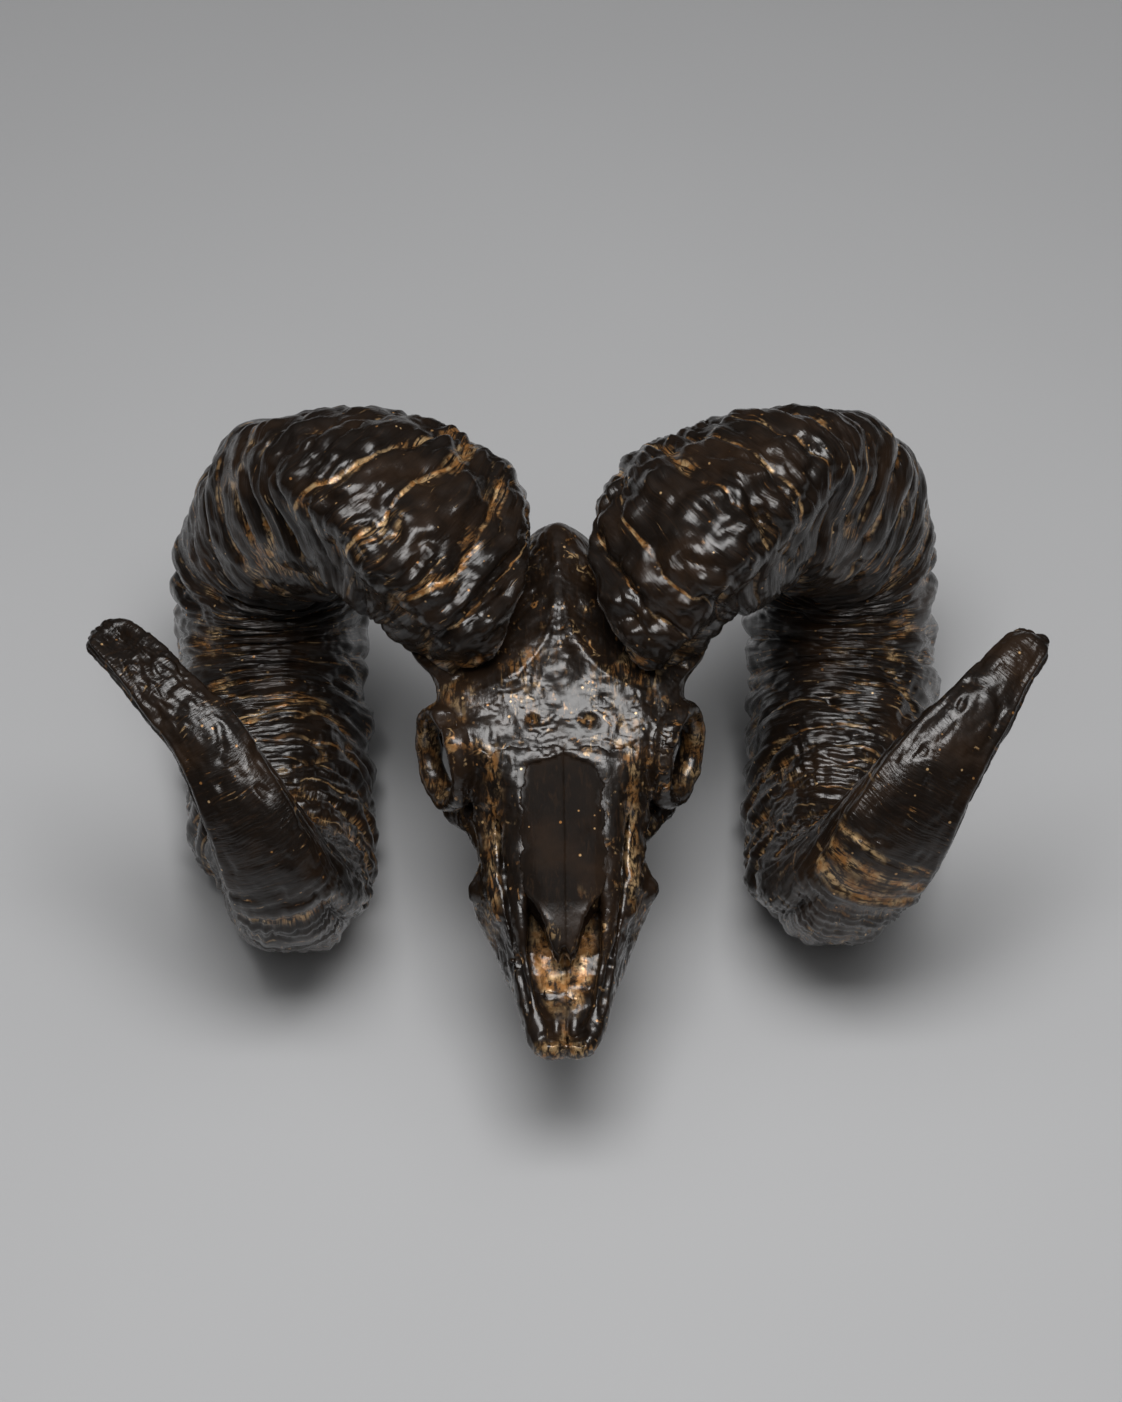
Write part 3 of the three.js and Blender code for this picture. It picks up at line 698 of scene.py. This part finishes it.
def half_skull():
    """The left half of the skull: the field, with an open nose, and its values with the nose still filled."""
    field = Field()
    skull_core(field)
    field.carve(*egg(*EYE, 23, 23, 23), blend=4)
    field.carve(*rod((50, 128, 72), (50, 186, 12), 7), blend=4)
    chain(field, CHEEK, [5.5, 6, 6, 5, 4.5, 5, 6], blend=4, flat=1.4)
    # the ridge down the face with a swelling in front of the eye, and the groove that parts it from the nose
    chain(field, CREST, [5.5, 5.5, 5, 4.5, 3], blend=5)
    field.join(*egg(35, 119, 58, 6.5, 8.5, 7), blend=4)
    chain(field, GROOVE, [1.6, 2.0, 2.2, 2.2, 1.8, 1.4, 1.0], blend=2.5, carve=True)
    # the knob on the cheek
    field.join(*rod((34, 92, 27), (40, 88, 25), 8, 4.6), blend=6)
    # molars, each with two lobes
    for tooth in range(MOLARS):
        y = MOLAR_Y + tooth * MOLAR_LENGTH
        x = MOLAR_X + tooth * MOLAR_SPREAD
        for lobe in (-2.6, 2.6):
            field.join(*rod((x, y + lobe, 2), (x + 1, y + lobe, -5.5), 4.2, 3.4), blend=1.2)
        field.carve(*egg(x, y, -9.5, 2.0, 3.6, 2.4), blend=1.5)
    # the hollow of the palate and the opening behind it
    field.carve(*egg(0, 80, -5, 16, 62, 9), blend=4)
    field.carve(*egg(0, 160, 6, 9, 34, 14), blend=4)
    # the stump of bone that the horn sits on
    chain(field, [(22, 186, 74), (40, 196, 98)], [30, 34], blend=12)
    # the back of the head: condyles, hole, wings and ear bulbs
    field.join(*egg(14, 255, 30, 9, 11, 11), blend=4)
    field.carve(*egg(0, 262, 36, 9.5, 16, 9), blend=3)
    field.join(*rod((33, 240, 36), (31, 246, 2), 5.5, 3), blend=4)
    field.join(*egg(24, 226, 8, 8, 11, 9), blend=3)
    field.join(*rod((36, 226, 34), (45, 224, 36), 6, 4), blend=3)
    field.carve(*egg(47, 224, 36, 4, 3, 3), blend=1)
    field.carve(*egg(56, 205, 60, 14, 26, 17), blend=8)
    field.join(eye_band, (32, 112, 30), (74, 172, 88), blend=2.5)
    whole = field.values.copy()
    # the open nose: a floor between two bars, running back under the nasal bones, and two slots in it
    field.carve(trough, (0, 12, 10), (20, 68, 70), blend=6)
    field.carve(*rod((4.4, 23, 14), (4.0, 14, 12), 2.0, 1.7), blend=1.5)
    # the recess behind the tip, and the two lobes of the tip
    field.carve(*egg(3.5, 9, 16, 6, 3.6, 3.6), blend=2)
    field.join(*egg(6.3, 5, 9.5, 6.6, 4.6, 5.6), blend=2)
    field.carve(*egg(6.5, 6, 15.2, 2.6, 2.0, 1.8), blend=1)
    field.carve(*rod((0, -1, 15), (0, 1, 4), 1.3), blend=1.5)
    return field, whole


# The seams between bones, each as a point and a direction.
SEAMS = {
    "premaxilla": ((0, 40, 20), (0, -0.8, 0.6)),
    "face": ((0, 126, 60), (0, -1, 0.1)),
    "roof": ((0, 160, 66), (0, 0.1, 1)),
}
# The outline of a nasal bone from above, from the forehead round to the notch between the tips.
NASAL_PLAN = [(0, 125), (6, 122), (12, 121), (17, 119), (19.4, 112), (19.8, 96), (20, 80), (19, 67),
              (16.8, 63), (12.5, 58.5), (9, 53), (6.6, 46), (4.8, 41.5), (2.8, 39.6), (0.4, 43.5)]
NASAL_THICK = 9
NASAL_LINE = (32, 35, 0.44)  # a point's y and z on the nasal bones' top, and its rise
TONGUE = 1.8  # how far a bone runs on under its neighbour at a seam
TONGUE_DROP = 0.12  # how far it is sunk there


def side_of(seam, x, y, z):
    """Distance from a seam that wanders a little, negative on the side that it faces."""
    (sx, sy, sz), way = seam
    a, b, c = np.array(way) / np.linalg.norm(way)
    wander = (1.5 * np.sin(x * 0.35) * np.cos(y * 0.2)
              + 0.7 * np.sin(x * 0.9 + y * 0.5)
              + 0.4 * np.sin(y * 0.8 + z))
    return -((x - sx) * a + (y - sy) * b + (z - sz) * c) + wander


def nasal_block(x, y, z):
    """Distance from the block that holds the nasal bones."""
    plan = np.array(NASAL_PLAN, float)
    tips = np.argmin(plan[:, 1])
    half = np.interp(y, plan[tips::-1, 1], plan[tips::-1, 0])
    wander = 0.9 * np.sin(y * 0.45 + 2 * np.sign(x)) + 0.5 * np.sin(y * 1.1 - np.sign(x))
    half = half + wander * smooth(60, 75, y)
    notch = np.interp(np.abs(x), plan[:tips - 1:-1, 0], plan[:tips - 1:-1, 1])
    sides = np.maximum(np.abs(x) - half, np.maximum(notch - y, y - 128))
    start_y, start_z, rise = NASAL_LINE
    under = start_z - NASAL_THICK + rise * (y - start_y) - z
    return np.maximum(sides, under / math.hypot(1, rise))


def overlapped(values, edge):
    """The part of a field where edge is negative, with a thin tongue that runs on under its neighbour."""
    return np.maximum(values + TONGUE_DROP * smooth(-0.4, 0.7, edge), edge - TONGUE)


def surface(name, values, axes, material, nodes):
    """A mesh piece over the part of the field that is below zero."""
    inside = np.argwhere(values < 1.5)
    low = np.maximum(inside.min(0) - 2, 0)
    high = inside.max(0) + 3
    block = np.ascontiguousarray(values[low[0]:high[0], low[1]:high[1], low[2]:high[2]], np.float32)
    grid = openvdb.FloatGrid(OUTSIDE)
    grid.copyFromArray(block)
    points, quads = grid.convertToQuads(isovalue=0)
    start = np.array([axes[a][low[a]] for a in range(3)])
    points = points.astype(float) * VOXEL + start
    faces = quads.astype(int)[:, ::-1]
    normals = vertex_normals(points, faces)
    centre = points.mean(0)
    if ((points - centre) * normals).sum() < 0:
        faces = faces[:, ::-1]
        normals = -normals
    relief, masks = bone_relief(points, normals)
    make_piece(name, points + normals * relief[:, None], faces, masks, material, nodes)


def bone_relief(points, normals):
    """How far the bone's surface stands off the smooth one in mm, and the masks for its finish."""
    x, y, z = points.T
    up = normals[:, 2]
    wide = np.abs(x)
    forehead = smooth(108, 128, y) * smooth(0.1, 0.5, up) * smooth(252, 228, y)
    nasal = smooth(3.5, -3.0, nasal_block(x, y, z) + 2.0 * noise(points, 12, 114))
    rough = 1 - 0.9 * nasal
    folds = creased(noise(warped(points, 18, 13.0, 101), 9.0, 104), 3.0) - 0.65
    curls = creased(noise(warped(points, 9, 7.0, 105), 4.6, 108), 3.0) - 0.65
    patchy = smooth(-0.25, 0.35, noise(points, 17, 113))
    relief = rough * folds * (0.2 + 0.14 * forehead * patchy)
    relief += rough * curls * (0.12 + 0.22 * forehead * patchy)
    relief += (1.5 * noise(points, 17, 109) + 0.5 * noise(points, 8, 110)) * (1 - 0.7 * nasal)
    strands = points * np.array([1.0, 0.16, 0.6])
    flanks = smooth(0.5, 0.1, up) * smooth(150, 120, y)
    relief += (0.3 - np.abs(noise(strands, 2.2, 111))) * 0.8 * flanks
    relief -= 0.45 * smooth(0.4, 0.75, noise(points, 7, 112)) * (1 - nasal)
    pits = np.exp(-((wide - PITS[0]) / 2.8) ** 2 - ((y - PITS[1]) / 2.2) ** 2) * smooth(0.2, 0.6, up)
    relief -= 2.4 * pits
    tan_reach = np.interp(y, [24, 46], [8.0, 17.5])
    floor = smooth(74, 64, y) * smooth(20, 30, y) * smooth(44, 36, z) * smooth(0.2, 0.5, up)
    floor *= smooth(1.0, 0.6, wide / tan_reach)
    crest = bump(32.5, 3.2, wide) * smooth(62, 72, y) * smooth(132, 122, y) * smooth(-0.3, 0.3, up)
    reach = np.hypot(y - EYE[1], z - EYE[2])
    sockets = smooth(EYE_RADIUS, EYE_RADIUS - 5, reach) * smooth(34, 42, wide)
    lip = smooth(8, 3, y) + bump(0, 2.0, wide) * smooth(24, 16, y)
    teeth = smooth(0, -3, z) * smooth(54, 60, y) * smooth(136, 128, y)
    masks = {"cavity": -(folds + 0.5 * curls) * rough + 1.5 * pits, "forehead": forehead,
             "floor": floor, "crest": crest, "sockets": sockets, "teeth": teeth, "lip": np.minimum(lip, 1),
             "tips": smooth(70, 50, y), "lacquer": 1 - 0.98 * nasal * smooth(50, 60, y)}
    return relief, masks


def make_skull(material, nasal_material):
    """All of the bones, cut from one field so that they meet."""
    half, half_whole = half_skull()
    x = np.concatenate([-half.axes[0][:0:-1], half.axes[0]])
    axes = [x, half.axes[1], half.axes[2]]
    spots = x[:, None, None], half.axes[1][None, :, None], half.axes[2][None, None, :]
    whole, values = (np.concatenate([part[:0:-1], part]) for part in (half_whole, half.values))
    for side, sign in SIGNS.items():
        rim_point, rim_way = flipped(RIM, sign)
        rim = sum((spots[a] - rim_point[a]) * rim_way[a] for a in range(3))
        near = np.hypot(spots[0] - sign * 45, spots[1] - 200) < 62
        values = np.where(near & (spots[2] > 70), np.maximum(values, rim + 0.4), values)
    nose = nasal_block(*spots)
    band = eye_band(np.abs(spots[0]), spots[1], spots[2]) - 1.0
    tip = side_of(SEAMS["premaxilla"], *spots)
    face = side_of(SEAMS["face"], *spots)
    roof = side_of(SEAMS["roof"], *spots)
    rest = overlapped(values, -nose)
    bones = overlapped(rest, -band)
    behind = overlapped(bones, -tip)
    back = overlapped(behind, -face)
    for side, sign in SIGNS.items():
        across = -spots[0] * sign

        def one_side(part):
            return np.maximum(part, across) if sign > 0 else overlapped(part, across)

        for bone, part, finish, slot in (
            ("nasal", one_side(np.maximum(whole, nose)), nasal_material, "bone_bronze"),
            ("premaxilla", one_side(np.maximum(bones, tip)), material, "worn_bronze"),
            ("maxilla", one_side(np.maximum(behind, face)), material, "bone_bronze"),
            ("eye_rim", np.maximum(np.maximum(rest, band), across), material, "bone_bronze"),
        ):
            surface(f"{bone}_{side}_bone", part, axes, finish, [f"{bone}_{side}"])
    surface("frontal_bone", np.maximum(back, roof), axes, material, ["frontal"])
    surface("braincase_bone", overlapped(back, -roof), axes, material, ["braincase"])


# ---- Materials ----


class Nodes:
    """A material's node tree, with short calls for the nodes it needs."""

    def __init__(self, name):
        self.material = bpy.data.materials.new(name)
        self.material.use_nodes = True
        self.tree = self.material.node_tree
        self.shader = self.tree.nodes["Principled BSDF"]

    def link(self, source, target):
        if isinstance(source, (int, float, tuple)):
            target.default_value = source
        else:
            self.tree.links.new(source, target)

    def new(self, kind, inputs, **settings):
        """A new node's outputs. The inputs are numbers or other nodes' outputs."""
        node = self.tree.nodes.new("ShaderNode" + kind)
        for key, value in settings.items():
            setattr(node, key, value)
        for key, value in inputs.items():
            self.link(value, node.inputs[key])
        return node.outputs

    def maths(self, operation, first, second=0.0, clamp=False):
        return self.new("Math", {0: first, 1: second}, operation=operation, use_clamp=clamp)[0]

    def times(self, *values):
        total = values[0]
        for value in values[1:]:
            total = self.maths("MULTIPLY", total, value)
        return total

    def most(self, *values):
        total = values[0]
        for value in values[1:]:
            total = self.maths("MAXIMUM", total, value, clamp=True)
        return total

    def attribute(self, name, output="Fac"):
        return self.new("Attribute", {}, attribute_name=name)[output]

    def noise(self, scale, detail=3.0, rough=0.55, distort=0.0, spot=None):
        inputs = {"Scale": scale, "Detail": detail, "Roughness": rough, "Distortion": distort}
        return self.new("TexNoise", inputs | {"Vector": spot or self.position()})["Fac"]

    def cells(self, scale, output="Distance"):
        return self.new("TexVoronoi", {"Scale": scale, "Vector": self.position()})[output]

    def position(self):
        if not hasattr(self, "spot"):
            self.spot = self.tree.nodes.new("ShaderNodeTexCoord").outputs["Object"]
        return self.spot

    def drawn_out(self, spot, sizes):
        """A place divided by three sizes, for noise that is longer one way than another."""
        return self.new("VectorMath", {0: spot, 1: sizes}, operation="DIVIDE")[0]

    def ramp(self, value, low, high, out_low=0.0, out_high=1.0):
        inputs = {"From Min": low, "From Max": high, "To Min": out_low, "To Max": out_high, "Value": value}
        return self.new("MapRange", inputs, interpolation_type="SMOOTHSTEP")["Result"]

    def mix(self, share, first, second):
        colour_sockets = {6: first, 7: second}
        return self.new("Mix", {"Factor": share} | colour_sockets, data_type="RGBA")[2]

    def bumps(self, height, distance, strength, normal=None):
        inputs = {"Height": height, "Distance": distance, "Strength": strength}
        if normal:
            inputs["Normal"] = normal
        return self.new("Bump", inputs)["Normal"]


PATINA = (0.0082, 0.0052, 0.0035, 1)
PATINA_BROWN = (0.029, 0.0152, 0.0077, 1)
GOLD = (0.36, 0.165, 0.05, 1)
PALE_GOLD = (0.6, 0.4, 0.2, 1)
SPECK_SPACING, SPECK_SIZE = 160, 0.13  # cells to a metre, and a speck's share of its cell
PATINA_METALLIC, GOLD_METALLIC = 0.2, 0.5
PATINA_SPECULAR = 0.1
UNLACQUERED_ROUGHNESS = 0.85
LACQUER_IOR = 1.43


def bronze(name, gold_marks, streaks_of, blur=0.15, brush=0.45):
    """Dark patina under lacquer with gold rubbed in.

    gold_marks(nodes, streaks, patch) gives the share of gold, and streaks_of(nodes) the brush marks that it
    was rubbed in with. blur is the roughness of the lacquer and brush the strength of the marks in it.
    """
    nodes = Nodes(name)
    patch = nodes.noise(48, 4, 0.6, 0.6)
    fine = nodes.noise(300, 5, 0.65)
    streaks = streaks_of(nodes)
    gold = gold_marks(nodes, streaks, patch)
    chosen = nodes.ramp(nodes.cells(SPECK_SPACING, "Color"), 0.54, 0.58)
    specks = nodes.times(nodes.ramp(nodes.cells(SPECK_SPACING), SPECK_SIZE, SPECK_SIZE * 0.6), chosen)
    worn = nodes.times(gold, nodes.ramp(fine, 0.34, 0.56))
    worn = nodes.most(worn, nodes.times(specks, 0.9))
    cloud = nodes.ramp(nodes.noise(26, 4, 0.6), 0.42, 0.68)
    warm = nodes.most(nodes.times(cloud, 0.7), nodes.times(nodes.ramp(streaks, 0.5, 0.72), 0.6))
    base = nodes.mix(warm, PATINA, PATINA_BROWN)
    rubbed = nodes.mix(nodes.ramp(nodes.noise(120, 3, 0.6), 0.4, 0.62), GOLD, PALE_GOLD)
    nodes.link(nodes.mix(worn, base, rubbed), nodes.shader.inputs["Base Color"])
    metallic = nodes.ramp(worn, 0, 1, PATINA_METALLIC, GOLD_METALLIC)
    nodes.link(metallic, nodes.shader.inputs["Metallic"])
    nodes.shader.inputs["Specular IOR Level"].default_value = PATINA_SPECULAR
    dull = nodes.times(nodes.maths("SUBTRACT", 1.0, nodes.attribute("lacquer")), UNLACQUERED_ROUGHNESS)
    rough = nodes.maths("MAXIMUM", dull, nodes.ramp(nodes.noise(90, 4, 0.6), 0.35, 0.65, 0.3, 0.5))
    nodes.link(rough, nodes.shader.inputs["Roughness"])
    nodes.link(nodes.attribute("lacquer"), nodes.shader.inputs["Coat Weight"])
    nodes.shader.inputs["Coat Roughness"].default_value = blur
    nodes.shader.inputs["Coat IOR"].default_value = LACQUER_IOR
    brushed = nodes.bumps(streaks, 0.001, brush)
    dimpled = nodes.bumps(nodes.noise(170, 2, 0.5, 0.9), 0.001, 0.1, brushed)
    normal = nodes.bumps(fine, 0.0005, 0.1, dimpled)
    nodes.link(normal, nodes.shader.inputs["Normal"])
    nodes.link(normal, nodes.shader.inputs["Coat Normal"])
    return nodes.material


def near_whole(nodes, count, width):
    """1 where a rising count passes a whole number, falling to 0 within the width on both sides."""
    part = nodes.maths("ABSOLUTE", nodes.maths("SUBTRACT", nodes.maths("FRACT", count), 0.5))
    return nodes.ramp(part, 0.5 - width, 0.5 - width * 0.3)


def horn_streaks(nodes):
    """Fine lines that follow the growth lines, or the long grain where there is one."""
    round_horn = nodes.drawn_out(nodes.attribute("lie", "Vector"), (16, 16, 1.5))
    along_horn = nodes.drawn_out(nodes.attribute("fibre", "Vector"), (1.6, 1.6, 18))
    lie = nodes.noise(1.0, 4, 0.6, 0.3, round_horn)
    fibre = nodes.noise(1.0, 4, 0.6, 0.3, along_horn)
    lie_share = nodes.maths("SUBTRACT", 1.0, nodes.attribute("grain"))
    return nodes.maths("ADD", nodes.times(lie, lie_share), nodes.times(fibre, nodes.attribute("grain")))


def horn_gold(nodes, streaks, patch):
    """Lines in the growth grooves, brushed gold in the hollows, glints, and bands across the limb."""
    rings = near_whole(nodes, nodes.attribute("rings"), 0.045)
    broken = nodes.ramp(patch, 0.44, 0.56)
    lines = nodes.times(rings, broken, nodes.ramp(nodes.attribute("front"), 0.0, 0.5, 0.45, 1.0))
    lines = nodes.times(lines, nodes.maths("SUBTRACT", 1.0, nodes.attribute("top")))
    hollows = nodes.ramp(nodes.attribute("cavity"), 0.8, 2.8)
    wide = nodes.noise(20, 3, 0.6, 0.4)
    brushed = nodes.times(nodes.ramp(streaks, 0.44, 0.58), nodes.ramp(wide, 0.42, 0.56), hollows)
    glints = nodes.times(nodes.ramp(streaks, 0.6, 0.68), nodes.ramp(patch, 0.55, 0.64), 0.8)
    marks = nodes.ramp(streaks, 0.4, 0.55)
    bands = nodes.times(nodes.attribute("bands"), nodes.ramp(patch, 0.34, 0.5), marks)
    return nodes.most(lines, brushed, glints, bands)


def bone_streaks(nodes):
    """Fine lines along the skull."""
    return nodes.noise(1.0, 4, 0.6, 0.9, nodes.drawn_out(nodes.position(), (0.0022, 0.011, 0.005)))


def bone_gold(nodes, streaks, patch):
    """Gold in the hollows and on the worn places, with a few dabs, and pale gold streaks on the forehead's
    upward faces that are partly the cast's gold rub and partly a painted highlight.
    """
    some = nodes.ramp(patch, 0.46, 0.58)
    hollows = nodes.ramp(nodes.attribute("cavity"), 0.1, 0.8)
    gold = nodes.times(hollows, some, nodes.ramp(streaks, 0.45, 0.6), 0.8)
    # Pale gold streaks on the forehead's upward faces: partly the cast's gold rub, partly a painted highlight
    # in place of the glare from the overhead light.
    tan_and_painted_glare = nodes.times(nodes.attribute("forehead"), nodes.ramp(nodes.noise(34, 3, 0.6), 0.56, 0.66), 0.45)
    gold = nodes.most(gold, nodes.times(tan_and_painted_glare, nodes.ramp(streaks, 0.42, 0.6)))
    dabs = nodes.times(nodes.ramp(nodes.noise(140, 2, 0.5, 1.5), 0.62, 0.68), nodes.ramp(patch, 0.5, 0.6))
    gold = nodes.most(gold, nodes.times(dabs, nodes.attribute("lacquer"), 0.8))
    spread = nodes.ramp(patch, 0.34, 0.5)
    shares = {"floor": 1.0, "crest": 0.9, "teeth": 0.55, "sockets": 0.6, "lip": 0.7}
    for mask, share in shares.items():
        marks = nodes.ramp(streaks, 0.3, 0.5) if mask == "floor" else nodes.ramp(streaks, 0.42, 0.58)
        gold = nodes.most(gold, nodes.times(nodes.attribute(mask), spread, marks, share))
    return gold


def nasal_gold(nodes, streaks, patch):
    """Hardly any: a few marks near the free tips."""
    marks = nodes.ramp(streaks, 0.5, 0.62)
    return nodes.times(nodes.attribute("tips"), nodes.ramp(patch, 0.52, 0.6), marks, 0.4)


# ---- Floor and light ----

FLOOR_REACH = 4.0
FLOOR_SHADES = (0.4, 0.4, 0.405, 1), (0.43, 0.43, 0.435, 1)


def make_floor():
    mesh = bpy.data.meshes.new("floor")
    far = FLOOR_REACH
    mesh.from_pydata([(-far, -far, 0), (far, -far, 0), (far, far, 0), (-far, far, 0)], [], [(0, 1, 2, 3)])
    floor = add("floor", mesh)
    nodes = Nodes("floor_grey")
    shade = nodes.mix(nodes.noise(3, 2), *FLOOR_SHADES)
    nodes.link(shade, nodes.shader.inputs["Base Color"])
    nodes.shader.inputs["Roughness"].default_value = 0.85
    nodes.shader.inputs["Specular IOR Level"].default_value = 0.2
    mesh.materials.append(nodes.material)


def make_light(name, spot, towards, size, power):
    data = bpy.data.lights.new(name, "AREA")
    data.shape = "RECTANGLE"
    data.size, data.size_y = size
    data.energy = power
    light = add(name, data)
    light.location = spot
    light.rotation_euler = (Vector(towards) - Vector(spot)).to_track_quat("-Z", "Y").to_euler()
    return light


# Each light's place, what it points at, its size in metres and its power in watts.
KEY = {"spot": (0.0, -0.32, 1.7), "towards": (0, -0.05, 0), "size": (1.1, 0.75), "power": 25}
FILL = {"spot": (0.0, -0.3, 1.7), "towards": (0, 0, 0), "size": (2.6, 2.2), "power": 12}
HORIZON, ZENITH = 0.02, 0.13  # the studio's own brightness, low down and overhead
HORIZON_TOP = 0.1  # how far up the horizon's brightness reaches
STUDIO_COLOUR = (0.96, 0.98, 1.0, 1)


def make_lights():
    make_light("key", **KEY)
    fill = make_light("fill", **FILL)
    fill.visible_glossy = False
    world = bpy.data.worlds.new("studio")
    world.use_nodes = True
    tree = world.node_tree
    split = tree.nodes.new("ShaderNodeSeparateXYZ")
    tree.links.new(tree.nodes.new("ShaderNodeTexCoord").outputs["Generated"], split.inputs[0])
    height = tree.nodes.new("ShaderNodeMapRange")
    height.interpolation_type = "SMOOTHSTEP"
    height.inputs["From Min"].default_value = HORIZON_TOP
    height.inputs["To Min"].default_value = HORIZON
    height.inputs["To Max"].default_value = ZENITH
    tree.links.new(split.outputs["Z"], height.inputs["Value"])
    tree.nodes["Background"].inputs["Color"].default_value = STUDIO_COLOUR
    tree.links.new(height.outputs["Result"], tree.nodes["Background"].inputs["Strength"])
    bpy.context.scene.world = world
    bpy.context.scene.view_settings.view_transform = "Standard"


# ---- The model ----

make_camera()
horn_bronze = bronze("horn_bronze", horn_gold, horn_streaks)
bone_bronze = bronze("bone_bronze", bone_gold, bone_streaks, blur=0.22, brush=0.12)
nasal_bronze = bronze("nasal_bronze", nasal_gold, bone_streaks, blur=0.22, brush=0.12)
for each_side in SIGNS:
    make_horn(each_side, horn_bronze)
make_skull(bone_bronze, nasal_bronze)
make_floor()
make_lights()
